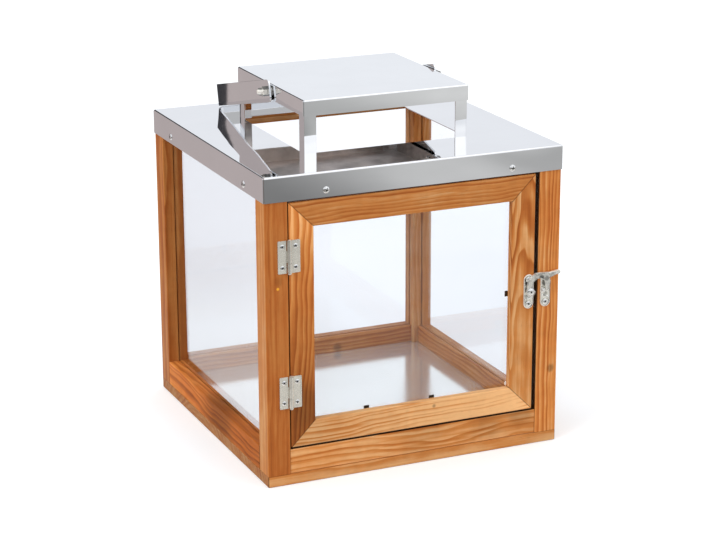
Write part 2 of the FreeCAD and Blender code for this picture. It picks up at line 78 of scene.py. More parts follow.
class Value:
    """A number in a node tree, which can be used in sums like a plain number."""

    def __init__(self, tree: "Tree", socket: bpy.types.NodeSocket) -> None:
        """Wraps one output socket of a tree."""
        self.tree = tree
        self.socket = socket

    def _math(self, operation: str, first: Number, second: Number) -> "Value":
        """Adds a Math node and returns its result."""
        return self.tree.one(operation, first, second)

    def __add__(self, other: Number) -> "Value":
        """Self plus other."""
        return self._math("ADD", self, other)

    __radd__ = __add__

    def __sub__(self, other: Number) -> "Value":
        """Self minus other."""
        return self._math("SUBTRACT", self, other)

    def __rsub__(self, other: Number) -> "Value":
        """Other minus self."""
        return self._math("SUBTRACT", other, self)

    def __mul__(self, other: Number) -> "Value":
        """Self times other."""
        return self._math("MULTIPLY", self, other)

    __rmul__ = __mul__

    def __truediv__(self, other: Number) -> "Value":
        """Self over other."""
        return self._math("DIVIDE", self, other)

    def __pow__(self, other: Number) -> "Value":
        """Self to a power."""
        return self._math("POWER", self, other)


class Tree:
    """The nodes of one material, or of the world."""

    def __init__(self, owner: Owner) -> None:
        """Starts from an empty tree.

        Args:
            owner: The new material or world.
        """
        owner.use_nodes = True
        self.owner = owner
        self.nodes = owner.node_tree.nodes
        self.links = owner.node_tree.links
        self.nodes.clear()

    def add(self, kind: str, inputs: Optional[dict] = None, output: Union[int, str] = 0,
            **settings: object) -> Value:
        """Adds any node.

        Args:
            kind: The node's type, without the ShaderNode that it starts with.
            inputs: What goes into each socket, by name or number: a number, a colour or a Value.
            output: The output to return.
            settings: Attributes of the node, set first. For a ramp, stops is a row of places and colours.

        Returns:
            The output as a Value.
        """
        node = self.nodes.new("ShaderNode" + kind)
        for key, value in settings.items():
            if key == "stops":
                self._set_stops(node.color_ramp.elements, value)
            else:
                setattr(node, key, value)
        for key, value in (inputs or {}).items():
            if isinstance(value, Value):
                self.links.new(value.socket, node.inputs[key])
            else:
                node.inputs[key].default_value = value
        return Value(self, node.outputs[output])

    @staticmethod
    def _set_stops(elements: bpy.types.ColorRampElements, stops: tuple) -> None:
        """Gives a ramp its stops.

        Args:
            elements: The ramp's own stops.
            stops: The place and colour of each.
        """
        while len(elements) < len(stops):
            elements.new(1.0)
        for element, (place, colour) in zip(elements, stops):
            element.position = place
            element.color = (*colour, 1.0)

    def position(self) -> Value:
        """The place on the piece, in metres."""
        return self.add("TexCoord", output="Object")

    def facing(self) -> dict[str, Value]:
        """The way that the surface faces, by letter."""
        return self.split(self.add("TexCoord", output="Normal"))

    def path(self, output: str) -> Value:
        """What Light Path says of the ray."""
        return self.add("LightPath", output=output)

    def split(self, vector: Value) -> dict[str, Value]:
        """The three numbers of a vector, by letter."""
        return {letter: self.add("SeparateXYZ", {0: vector}, letter) for letter in "XYZ"}

    def join(self, x: Number, y: Number, z: Number) -> Value:
        """A vector from three numbers."""
        return self.add("CombineXYZ", {"X": x, "Y": y, "Z": z})

    def distance(self, point: Value, other: Place) -> Value:
        """How far a point is from another."""
        return self.add("VectorMath", {0: point, 1: other}, "Value", operation="DISTANCE")

    def one(self, operation: str, value: Number, other: Number = 0.0) -> Value:
        """A Math node on one or two numbers, for what no sign stands for."""
        return self.add("Math", {0: value, 1: other}, operation=operation)

    def clamp(self, value: Value) -> Value:
        """The number held between 0 and 1."""
        return self.add("Clamp", {"Value": value})

    def step(self, value: Value, low: float, high: float) -> Value:
        """A smooth rise from 0 at low to 1 at high."""
        ends = {"Value": value, "From Min": low, "From Max": high}
        return self.add("MapRange", ends, interpolation_type="SMOOTHSTEP")

    def band(self, value: Value, rise: Pair, fall: Pair) -> Value:
        """A smooth rise from 0 to 1, and then a fall back to 0, each between two levels."""
        return self.step(value, *rise) * (1.0 - self.step(value, *fall))

    def noise(self, vector: Value, scale: float, detail: float = 2.0, roughness: float = 0.5) -> Value:
        """Soft noise about 0.5."""
        return self.add("TexNoise", {"Vector": vector, "Scale": scale, "Detail": detail,
                                     "Roughness": roughness})

    def mix(self, factor: Number, first: Union[Colour, Value], second: Union[Colour, Value],
            blend: str = "MIX") -> Value:
        """A mix of two colours."""
        first, second = ((*c, 1.0) if isinstance(c, tuple) else c for c in (first, second))
        return self.add("Mix", {0: factor, 6: first, 7: second}, 2, data_type="RGBA", blend_type=blend)

    def shaded(self, colour: Union[Colour, Value], shade: Value) -> Value:
        """A colour made lighter or darker by a number."""
        return self.mix(1.0, colour, self.join(shade, shade, shade), "MULTIPLY")

    def bump(self, height: Value, distance: float, strength: float = 1.0) -> Value:
        """A normal that follows a height."""
        return self.add("Bump", {"Height": height, "Distance": distance, "Strength": strength}, "Normal")

    def surface(self, shader: Value, output: str = "OutputMaterial") -> Owner:
        """Sends a shader to the tree's output.

        Args:
            shader: The finished shader.
            output: The output node's type, as for add.

        Returns:
            The material or world.
        """
        out = self.nodes.new("ShaderNode" + output)
        self.links.new(shader.socket, out.inputs["Surface"])
        return self.owner


@dataclass(frozen=True)
class Wood:
    """Stained softwood, with growth rings about a pith that lies outside the piece.

    Attributes:
        name: The material's name.
        axis: The way that the grain runs.
        centre: The middle of the piece, in metres.
        seed: Moves the pattern.
        pith: Where the rings' centre lies from the middle of the piece, across the grain, in mm.
        ring: The rings' mean spacing, in mm.
        contrast: How dark the late wood is, from 0 to 1.
        tone: How light the piece is.
        depth: How deep the stain is all over, from 0 to 1.
        slope: How far the rings' centre wanders from the grain's direction, per mm of length.
        wander: How far the rings wave, in mm.
        seams: Joints to other pieces, each a point in mm and a unit normal, which show as fine dark lines.
        knots: Dark marks, each a point in mm, a radius and a strength.
        gap_shade: Faces round the door darkened with painted shade near the front, standing in for the shadow
            in the narrow gap between door and frame, each a letter and a level in mm.
        gap_shade_depth: Where the painted shade begins and where it ends, from front to back, in mm.
        resin: Spots of orange resin, each a point in mm and a radius.
        fade: How much the tone changes over 100 mm of length.
        flame: How much the grain's lightness waves across the fibres.
        painted_side_light: Painted light on the faces turned to the left, as if a lamp on the left lit them
            more or less than the rest: what it adds to the stain's depth, and how light those faces are.
        gloss: The level of the varnish's reflection.
        stops: The stain's colours, from early wood to late wood.
    """

    name: str
    axis: Axis
    centre: Place
    seed: float
    pith: Pair = (60.0, 40.0)
    ring: float = 3.4
    contrast: float = 0.6
    tone: float = 1.0
    depth: float = 0.12
    slope: Pair = (0.01, 0.0)
    wander: float = 5.0
    seams: tuple = ()
    knots: tuple = ()
    gap_shade: tuple = ()
    gap_shade_depth: tuple[Pair, Pair] = ((-123.9, -122.4), (-110.0, -108.0))
    resin: tuple = ()
    fade: float = 0.0
    flame: float = 0.2
    painted_side_light: Pair = (0.0, 1.0)
    gloss: float = 0.12
    stops: tuple = ((0.0, (0.72, 0.41, 0.18)), (0.28, (0.53, 0.205, 0.052)), (0.6, (0.38, 0.108, 0.02)),
                    (1.0, (0.15, 0.034, 0.007)))

    def build(self) -> bpy.types.Material:
        """Makes the material.

        Returns:
            The finished material.
        """
        tree = Tree(bpy.data.materials.new(self.name))
        place = tree.split(tree.position())
        letters = self.axis.value
        middle = dict(zip("XYZ", self.centre))
        along, u, v = ((place[k] - middle[k]) * (1 / MM) for k in letters)
        s = self.seed

        def noise(length: float, width: float, shift: float, detail: float = 2.0,
                  rough: float = 0.5) -> Value:
            """Noise about 0 whose grains have a length along the wood and a width across it, in mm."""
            at = tree.join(along * (1 / length) + (s * 7.31 + shift), u * (1 / width) + (s * 3.7 - shift),
                           v * (1 / width) + (s + shift))
            return tree.noise(at, 1.0, detail, rough) - 0.5

        slow = self.wander * 2.0
        du = u - self.pith[0] - along * self.slope[0] + noise(95.0, 34.0, 0.0) * slow
        dv = v - self.pith[1] - along * self.slope[1] + noise(80.0, 30.0, 5.0) * slow
        radius = (du * du + dv * dv) ** 0.5
        pace = tree.noise(tree.join(radius * 0.11 + s * 5.0, s, 0.5), 1.0, 1.0) - 0.5
        turns = radius / self.ring + pace * 1.7
        phase = tree.one("FRACT", turns)
        year = tree.add("TexWhiteNoise", {"W": tree.one("FLOOR", turns) + s * 11.0}, noise_dimensions="1D")
        late = tree.band(phase, (0.22, 0.86), (0.88, 1.0)) * (0.3 + 0.7 * year)

        streak = noise(230.0, 2.4, 1.0)
        fibre = noise(26.0, 0.62, 2.0, 3.0, 0.6)
        fine = noise(8.0, 0.22, 3.0, 2.0, 0.6)
        blotch = noise(42.0, 13.0, 4.0, 3.0, 0.55)
        flame = noise(7.0, 16.0, 8.0)
        pore = tree.step(noise(7.5, 0.34, 6.0, 1.0) + 0.5, 0.69, 0.78)
        facing = tree.facing()
        # Painted light: faces turned to the left get a paler stain and their own lightness, as if lit from
        # the left.
        left = tree.step(facing["X"] * -1.0, 0.5, 0.9)
        end_grain = tree.step(tree.one("ABSOLUTE", facing[letters[0]]), 0.6, 0.95)

        share = tree.clamp(late * self.contrast + streak * 0.42 + fibre * 0.26 + blotch * 0.55 + self.depth
                           + left * self.painted_side_light[0] - along * (self.fade / 200.0))
        colour = tree.add("ValToRGB", {"Fac": share}, stops=self.stops)
        shade = self.tone * (1.0 + fine * 0.2 + fibre * 0.12 + blotch * 0.22 + flame * self.flame
                             + along * (self.fade / 100.0))
        shade = shade * (1.0 - pore * 0.28) * (1.0 - end_grain * 0.2) * (1.0 + left * (self.painted_side_light[1] - 1.0))
        at = {k: place[k] * (1 / MM) for k in "XYZ"}
        spot = tree.join(*at.values())
        colour = tree.shaded(colour, self._marks(tree, at, spot, fibre + blotch, shade))
        for point, reach in self.resin:
            near = 1.0 - tree.step(tree.distance(spot, point), reach * 0.4, reach)
            colour = tree.mix(near, colour, (0.9, 0.42, 0.04))
        height = fibre * 0.5 + fine * 0.3 + late * 0.4 - pore * 0.8
        return tree.surface(tree.add("BsdfPrincipled", {
            "Base Color": colour, "Roughness": tree.clamp(0.46 + fibre * 0.25 - late * 0.06),
            "Specular IOR Level": self.gloss, "Normal": tree.bump(height, 0.09 * MM, 0.6),
        }))

    def _marks(self, tree: Tree, at: dict[str, Value], spot: Value, waver: Value, shade: Value) -> Value:
        """Darkens the wood at its knots, with painted shade on the faces round the door's gap, and at its
        joints.

        Args:
            tree: The material's tree.
            at: The place on the piece in mm, by letter.
            spot: The same as a vector.
            waver: What makes a knot's edge uneven.
            shade: The lightness so far.

        Returns:
            The new lightness.
        """
        for point, reach, strength in self.knots:
            near = 1.0 - tree.step(tree.distance(spot, point) + waver * reach, reach * 0.25, reach)
            shade = shade * (1.0 - strength * near)
        # Painted shade: faces round the door are darkened towards the front, standing in for the shadow in
        # the narrow gap between door and frame.
        for letter, level in self.gap_shade:
            near = 1.0 - tree.step(tree.one("ABSOLUTE", at[letter] - level), 0.1, 0.3)
            shade = shade * (1.0 - 0.88 * tree.band(at["Y"], *self.gap_shade_depth) * near)
        for point, way in self.seams:
            off = sum((at[k] - p) * w for k, p, w in zip("XYZ", point, way) if w)
            shade = shade * (1.0 - 0.6 * (1.0 - tree.step(tree.one("ABSOLUTE", off), 0.12, 0.5)))
        return shade


@dataclass(frozen=True)
class Steel:
    """Polished or plated metal, with faint waves, fine scratches and smudges.

    Attributes:
        name: The material's name.
        colour: What it reflects head on.
        roughness: How blurred its reflections are.
        smudge: How much finger marks and haze add to the roughness.
        wave: The height of the sheet's slow waves, in mm.
        ripple: The height of its short waves, in mm.
        grain: The height of its fine grain, in mm.
        pits: How dark the dirt in its hollows is, from 0 to 1.
        cloud: How much its tone varies in soft swirls, from 0 to 1.
        pitch: How many short waves there are in a metre.
        metallic: How far it is clean metal, where the rest is a pale haze.
        painted_shade_belt: Painted shade: how much darker it is where it faces up or down, standing in for
            dark reflections there, from 0 to 1.
        painted_shade_spots: Dark patches of painted shade where nearby parts or folds shadow the metal, each
            a point in mm, a radius and a strength.
    """

    name: str
    colour: Colour = (0.86, 0.87, 0.885)
    roughness: float = 0.022
    smudge: float = 0.03
    wave: float = 0.0
    ripple: float = 0.0
    grain: float = 0.0
    pits: float = 0.0
    cloud: float = 0.045
    pitch: float = 210.0
    metallic: float = 1.0
    painted_shade_belt: float = 0.0
    painted_shade_spots: tuple = ()

    @cache
    def build(self) -> bpy.types.Material:
        """Makes the material, once.

        Returns:
            The finished material.
        """
        tree = Tree(bpy.data.materials.new(self.name))
        place = tree.position()
        haze = tree.noise(place, 24.0, 4.0, 0.6)
        marks = tree.noise(place, 900.0, 2.0, 0.7)
        slow = tree.noise(place, 11.0, 1.0)
        short = tree.noise(place, self.pitch)
        fine = tree.noise(place, 1400.0)
        colour = tree.mix(tree.step(haze, 0.35, 0.68) * self.cloud, self.colour, self._darker(0.45))
        if self.pits:
            dirt = tree.step(tree.noise(place, self.pitch * 1.2, 3.0, 0.6), 0.5, 0.66)
            colour = tree.mix(dirt * self.pits, colour, self._darker(0.3))
        # Painted shade: faces turned up or down are darkened, standing in for dark reflections there.
        if self.painted_shade_belt:
            level = tree.one("ABSOLUTE", tree.facing()["Z"])
            colour = tree.mix(tree.step(level, 0.45, 0.8) * self.painted_shade_belt, colour, self._darker(0.06))
        # Painted shade: dark patches where nearby parts or folds shadow the metal.
        for point, reach, strength in self.painted_shade_spots:
            off = tree.distance(place, tuple(c * MM for c in point)) * (1 / MM)
            painted_spot = 1.0 - tree.step(off + (short - 0.5) * reach, reach * 0.45, reach)
            colour = tree.mix(painted_spot * strength, colour, self._darker(0.08))
        rough = self.roughness + (haze - 0.4) * self.smudge + (marks - 0.5) * self.smudge * 0.6
        height = slow * self.wave + short * self.ripple + fine * self.grain
        return tree.surface(tree.add("BsdfPrincipled", {
            "Base Color": colour, "Metallic": self.metallic, "Roughness": tree.clamp(rough),
            "Normal": tree.bump(height, MM),
        }))

    def _darker(self, share: float) -> Colour:
        """The metal's colour, darkened to a share of itself."""
        return tuple(share * c for c in self.colour)


@dataclass(frozen=True)
class Glass:
    """Clear float glass that lets lamps through."""

    name: str = "clear_glass"
    colour: Colour = (0.915, 0.93, 0.958)

    @cache
    def build(self) -> bpy.types.Material:
        """Makes the material, once.

        Returns:
            The finished material.
        """
        tree = Tree(bpy.data.materials.new(self.name))
        haze = tree.noise(tree.position(), 30.0, 4.0, 0.6)
        glass = tree.add("BsdfPrincipled", {
            "Base Color": (*self.colour, 1.0), "Roughness": tree.clamp((haze - 0.5) * 0.02),
            "IOR": 1.5, "Transmission Weight": 1.0,
        })
        clear = tree.add("BsdfTransparent", {"Color": (*self.colour, 1.0)})
        share = tree.one("MAXIMUM", tree.path("Is Shadow Ray"), tree.path("Is Diffuse Ray"))
        return tree.surface(tree.add("MixShader", {0: share, 1: glass, 2: clear}))


@dataclass(frozen=True)
class Painted:
    """A plain hard surface with a little wear, such as blackened steel, beech or sealant."""

    name: str
    colour: Colour
    roughness: float
    metallic: float = 0.0
    mottle: float = 0.15

    @cache
    def build(self) -> bpy.types.Material:
        """Makes the material, once.

        Returns:
            The finished material.
        """
        tree = Tree(bpy.data.materials.new(self.name))
        speck = tree.noise(tree.position(), 700.0, 3.0, 0.6) - 0.5
        return tree.surface(tree.add("BsdfPrincipled", {
            "Base Color": tree.shaded(self.colour, 1.0 + speck * self.mottle), "Metallic": self.metallic,
            "Roughness": tree.clamp(self.roughness + speck * 0.2),
            "Normal": tree.bump(speck, 0.03 * MM, 0.5),
        }))


Finish = Union[Wood, Steel, Glass, Painted]

POLISHED = Steel("polished_steel", wave=0.4)
ROOF_STEEL = Steel("roof_steel", (0.82, 0.825, 0.843), wave=0.75)
MILL_STEEL = Steel("mill_steel", (0.88, 0.805, 0.755), roughness=0.42, smudge=0.1, wave=0.12, ripple=0.2,
                   grain=0.01, cloud=0.85, pitch=70.0)
FLOOR_STEEL = Steel("floor_steel", (0.88, 0.945, 0.965), roughness=0.13, smudge=0.1, wave=0.03, grain=0.01,
                    metallic=0.72)
BRIGHT = Steel("bright_fastener", (0.86, 0.86, 0.85), roughness=0.09, smudge=0.08, ripple=0.02)
# The pivots' turned steel is painted darker above and below, standing in for dark reflections.
TURNED = Steel("turned_steel", (0.93, 0.9, 0.83), roughness=0.22, smudge=0.1, ripple=0.02, metallic=0.4,
               painted_shade_belt=0.9)
ZINC = Steel("zinc_screw", (0.6, 0.62, 0.64), roughness=0.35, smudge=0.2, wave=0.4)
NICKEL = Steel("nickel_plate", (0.87, 0.845, 0.765), roughness=0.26, smudge=0.12, ripple=0.08, grain=0.004,
               pits=0.12, cloud=0.3, metallic=0.82)
WORN_NICKEL = Steel("worn_nickel", (0.9, 0.87, 0.8), roughness=0.42, smudge=0.12, ripple=0.05, metallic=0.8)
# A rubbed rim, painted lighter than the middle as a highlight along the edges.
RUBBED_RIM_HIGHLIGHT = Steel("rubbed_nickel_rim_highlight", (0.97, 0.95, 0.88), roughness=0.3, smudge=0.1, ripple=0.05, metallic=0.75)
# A dark line of dirt and painted shade, standing in for the shadow in the stamped crease.
CREASE_DIRT_AND_SHADE = Steel("crease_dirt_and_shade", (0.2, 0.185, 0.17), roughness=0.4, smudge=0.1, ripple=0.3, metallic=0.6)
# The plates' dark patches are painted shade round the hook, the stud and the screws.
STAMPED = Steel("stamped_nickel", (0.95, 0.93, 0.86), roughness=0.1, smudge=0.08, ripple=1.6, grain=0.01,
                pits=0.75, pitch=230.0, painted_shade_spots=(
                    ((94.6, -125.0, 137.6), 4.6, 0.9), ((93.4, -125.0, 131.0), 2.4, 0.7),
                    ((110.6, -125.0, 134.6), 3.4, 0.85), ((115.4, -125.0, 136.0), 2.2, 0.7),
                    ((109.6, -125.0, 128.6), 2.6, 0.6), ((113.6, -125.0, 119.5), 2.4, 0.6)))
# A darker copy of the nickel for the hook's middle: painted shade standing in for its grey reflection, with
# painted shade under the tail's fold.
SHADED_HOOK_NICKEL = Steel("hook_nickel_painted_shade", (0.78, 0.765, 0.735), roughness=0.09, smudge=0.05, ripple=0.8, grain=0.005,
              pits=0.6, pitch=190.0,
              painted_shade_spots=(((107.5, -127.0, 139.3), 3.0, 0.85), ((111.8, -127.0, 138.6), 2.6, 0.6)))
CROSS_SHADE = Painted("cross_shade", (0.02, 0.018, 0.016), 0.6)


def middle(node: str) -> Place:
    """The middle of a CAD node, in metres."""
    low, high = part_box(node)
    return tuple((a + b) / 2 for a, b in zip(low, high))


def only(piece: bpy.types.Object) -> None:
    """Selects one object and nothing else.

    Args:
        piece: The object.
    """
    bpy.ops.object.select_all(action="DESELECT")
    piece.select_set(True)
    bpy.context.view_layer.objects.active = piece


def named(name: str) -> bpy.types.Object:
    """Names the active object, and puts its place into its mesh.

    Args:
        name: Its new name.

    Returns:
        The object.
    """
    piece = bpy.context.object
    piece.name = name
    piece.data.name = name
    bpy.ops.object.transform_apply(location=True, rotation=True, scale=True)
    return piece


def primitive(operator: Callable, name: str, **settings: object) -> bpy.types.Object:
    """Adds a primitive with nothing else selected.

    Args:
        operator: The operator that adds it.
        name: Its name.
        settings: Its size and place.

    Returns:
        The new object.
    """
    bpy.ops.object.select_all(action="DESELECT")
    operator(**settings)
    return named(name)


@contextmanager
def editing(piece: bpy.types.Object, whole: bool = True) -> Iterator[None]:
    """Holds a piece in edit mode for a few steps.

    Args:
        piece: The piece.
        whole: Whether all of it is selected first.

    Yields:
        Nothing, once, while the piece is in edit mode.
    """
    only(piece)
    bpy.ops.object.mode_set(mode="EDIT")
    if whole:
        bpy.ops.mesh.select_all(action="SELECT")
    yield
    bpy.ops.object.mode_set(mode="OBJECT")


def pick(piece: bpy.types.Object, kind: str, wanted: Callable) -> None:
    """Selects the vertices, edges or faces that pass a test, from object mode.

    Args:
        piece: The object.
        kind: VERT, EDGE or FACE.
        wanted: A test on a vertex's place, on an edge's two ends, or on a face's middle and normal.
    """
    mesh = piece.data
    bpy.context.tool_settings.mesh_select_mode = tuple(kind == k for k in ("VERT", "EDGE", "FACE"))
    points = mesh.vertices
    tests = {
        "VERT": (points, lambda vertex: wanted(vertex.co)),
        "EDGE": (mesh.edges, lambda edge: wanted(*(points[i].co for i in edge.vertices))),
        "FACE": (mesh.polygons, lambda face: wanted(face.center, face.normal)),
    }
    for name, (group, test) in tests.items():
        group.foreach_set("select", [name == kind and bool(test(part)) for part in group])


def modify(piece: bpy.types.Object, kind: str, **settings: object) -> None:
    """Adds a modifier, sets it and applies it.

    Args:
        piece: The object.
        kind: The modifier's type.
        settings: Its attributes.
    """
    only(piece)
    modifier = piece.modifiers.new(kind.lower(), kind)
    for key, value in settings.items():
        setattr(modifier, key, value)
    bpy.ops.object.modifier_apply(modifier=modifier.name)


def smooth(piece: bpy.types.Object, degrees: float = 30.0) -> None:
    """Shades a piece smooth where its faces meet at less than an angle."""
    only(piece)
    bpy.ops.object.shade_smooth_by_angle(angle=math.radians(degrees))


def even(piece: bpy.types.Object) -> None:
    """Shades a piece smooth with its broad faces kept flat, so that only the bends and eased edges turn."""
    smooth(piece, 50.0)
    modify(piece, "WEIGHTED_NORMAL", mode="FACE_AREA", weight=100, thresh=0.01, keep_sharp=True)


def coat(thing: bpy.types.Object, *finishes: Finish) -> None:
    """Gives an object its finishes, and keeps what each face has.

    Args:
        thing: The object.
        finishes: One finish for each of its slots.
    """
    slots = thing.data.materials
    for index, finish in enumerate(finishes):
        if index < len(slots):
            slots[index] = finish.build()
        else:
            slots.append(finish.build())
    LOG.info("%s: %s", thing.name, ", ".join(m.name for m in slots))


def dress(node: str, finish: Finish) -> None:
    """Gives a CAD node its finish."""
    frame["nodes"][node].data.materials.clear()
    coat(frame["nodes"][node], finish)


def stand_in(piece: bpy.types.Object, node: str, slot: str, *finishes: Finish) -> None:
    """Puts a finished piece in a CAD node's place.

    Args:
        piece: The piece.
        node: The node that it stands for.
        slot: The record's material slot; not used.
        finishes: One finish for each of its slots.
    """
    coat(piece, *finishes)
    body = next(name for name, members in frame["record"]["behaviour"]["bodies"].items() if node in members)
    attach(piece, body)
    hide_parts(node)


def rounded(node: str, name: str, slot: str, *finishes: Finish, width: float = 0.3,
            segments: int = 2) -> bpy.types.Object:
    """Makes a copy of a CAD node with its flat faces whole and its edges eased.

    Args:
        node: The node to copy.
        name: The new piece's name.
        slot: The record's material slot.
        finishes: One finish for each of its slots.
        width: The width of the easing, in mm.
        segments: How many faces round each edge.

    Returns:
        The piece.
    """
    mesh = frame["nodes"][node].data.copy()
    mesh.name = name
    mesh.materials.clear()
    if "custom_normal" in mesh.attributes:
        mesh.attributes.remove(mesh.attributes["custom_normal"])
    piece = bpy.data.objects.new(name, mesh)
    bpy.context.scene.collection.objects.link(piece)
    with editing(piece):
        bpy.ops.mesh.remove_doubles(threshold=2 * TINY)
        bpy.ops.mesh.dissolve_limited(angle_limit=math.radians(1.0))
    modify(piece, "BEVEL", width=width * MM, segments=segments, limit_method="ANGLE",
           angle_limit=math.radians(40.0), use_clamp_overlap=True)
    even(piece)
    stand_in(piece, node, slot, *finishes)
    return piece


@dataclass
class WoodFrame:
    """The frame's and the door's wood, with the floor plate, the dowels and the base's screws.

    Attributes:
        half: Half the frame's side, in mm.
        inner: The posts' inner faces, in mm from the middle.
        base: The base board's thickness, in mm.
        sill: The level of the front rail's upper face, in mm.
        door: The door's left, right, lower and upper edges, in mm.
    """

    half: float = 124.0
    inner: float = 105.5
    base: float = 8.6
    sill: float = 28.6
    door: tuple[float, float, float, float] = (-104.7, 102.0, 30.2, 223.6)

    def mitres(self) -> dict[str, tuple]:
        """The mitre joint at each corner of the door.

        Returns:
            A point and a normal for each corner, by its name.
        """
        left, right, low, high = self.door
        return {
            "low_left": ((left, 0.0, low), (SLANT, 0.0, -SLANT)),
            "high_left": ((left, 0.0, high), (SLANT, 0.0, SLANT)),
            "low_right": ((right, 0.0, low), (SLANT, 0.0, SLANT)),
            "high_right": ((right, 0.0, high), (SLANT, 0.0, -SLANT)),
        }

    def finishes(self) -> dict[str, Wood]:
        """The wood of each piece, where each row's number is its seed.

        Returns:
            The finish for each node.
        """
        x, y, z = Axis.X, Axis.Y, Axis.Z
        foot = ((0.0, 0.0, self.base), (0.0, 0.0, 1.0))
        butts = tuple(((side * self.inner, 0.0, 0.0), (1.0, 0.0, 0.0)) for side in (-1, 1)) + (foot,)
        ends = tuple(((0.0, side * self.inner, 0.0), (0.0, 1.0, 0.0)) for side in (-1, 1)) + (foot,)
        corners = tuple(((a * self.half, b * self.half, 0.0), (SLANT, -a * b * SLANT, 0.0))
                        for a, b in ((-1, -1), (1, -1), (-1, 1), (1, 1)))
        mitre = self.mitres()
        left, right, low, _ = self.door
        # In these rows, gaps give faces round the door painted shade, and flank gives faces turned to the
        # left painted light.
        rows = {
            "post_front_left": dict(
                axis=z, pith=(80, 66), ring=3.6, contrast=0.16, tone=1.1, depth=0.5, painted_side_light=(-0.26, 0.9),
                flame=0.14, seams=(foot,), gap_shade=(("X", -self.inner),),
                knots=(((-113.9, -124, 164), 5.0, 0.2),), resin=(((-114.1, -124, 158.2), 1.5),)),
            "post_front_right": dict(
                axis=z, pith=(-46, 8), ring=3.2, contrast=0.46, tone=1.29, depth=0.26, fade=-0.04,
                slope=(0.004, 0.0), seams=(foot,), gap_shade=(("X", self.inner),),
                knots=(((118.2, -124, 61.9), 4.0, 0.45),)),
            "post_back_left": dict(
                axis=z, pith=(28, 40), ring=7.0, contrast=0.7, tone=0.94, depth=0.34, seams=(foot,)),
            "post_back_right": dict(
                axis=z, pith=(-60, -30), contrast=0.36, tone=1.06, depth=0.22, seams=(foot,)),
            "bottom_rail_front": dict(
                axis=x, pith=(30, -34), ring=3.8, contrast=0.5, tone=1.19, depth=0.15, fade=-0.06, wander=6.0,
                seams=butts, gap_shade=(("Z", self.sill),),
                knots=(((4, -123, 25), 30.0, 0.14), ((62, -123, 27), 22.0, 0.2),
                       ((92, -123, 26), 16.0, 0.24))),
            "bottom_rail_back": dict(
                axis=x, pith=(-24, -40), ring=4.0, contrast=0.36, tone=1.02, depth=0.3, seams=butts,
                knots=(((33.5, 110, 18), 5.0, 0.5),)),
            "bottom_rail_left": dict(
                axis=y, pith=(24, -34), ring=4.4, contrast=0.36, tone=1.38, depth=0.54, gloss=0.03, fade=0.1,
                slope=(0.03, 0.03), wander=9.0, seams=ends, knots=(((-124, -14, 18), 44.0, 0.46),)),
            "bottom_rail_right": dict(
                axis=y, pith=(-22, -50), contrast=0.4, tone=1.06, depth=0.25, seams=ends),
            **{"top_rail_" + side: dict(axis=axis, pith=(across, 40), contrast=0.5, tone=0.9, seams=seams)
               for side, axis, across, seams in (("front", x, -20, butts), ("back", x, 20, butts),
                                                 ("left", y, 20, ends), ("right", y, 20, ends))},
            "base_board": dict(
                axis=x, pith=(30, -60), ring=5.0, contrast=0.34, tone=1.1, depth=0.14, painted_side_light=(0.06, 0.78),
                seams=corners),
            "door_stile_left": dict(
                axis=z, pith=(-58, 16), ring=4.6, contrast=0.46, tone=1.12, depth=0.35, slope=(0.05, 0.0),
                fade=0.34, wander=8.0, seams=(mitre["low_left"], mitre["high_left"]), gap_shade=(("X", left),),
                knots=(((-90, -124, 62), 30.0, 0.3),)),
            "door_stile_right": dict(
                axis=z, pith=(5, 14), contrast=0.5, tone=1.1, depth=0.14, slope=(0.05, 0.07), wander=9.0,
                seams=(mitre["low_right"], mitre["high_right"]), gap_shade=(("X", right),)),
            "door_rail_top": dict(
                axis=x, pith=(24, 56), ring=2.8, contrast=0.36, tone=1.01, depth=0.26,
                seams=(mitre["high_left"], mitre["high_right"])),
            "door_rail_bottom": dict(
                axis=x, pith=(26, -56), ring=3.0, contrast=0.36, tone=1.15, depth=-0.04, slope=(0.0, 0.04),
                fade=0.16, seams=(mitre["low_left"], mitre["low_right"]), gap_shade=(("Z", low),),
                knots=(((15.6, -124, 45.5), 2.0, 0.45),)),
        }
        return {node: Wood(name="wood_" + node, centre=middle(node), seed=float(number), **row)
                for number, (node, row) in enumerate(rows.items(), 1)}

    def build(self) -> None:
        """Dresses every wooden piece, and what lies on it or holds it."""
        for node, wood in self.finishes().items():
            dress(node, wood)
        dress("frame_dowels", Painted("beech_dowel", (0.62, 0.42, 0.24), 0.6))
        dress("base_screws", ZINC)
        dress("floor_plate", FLOOR_STEEL)


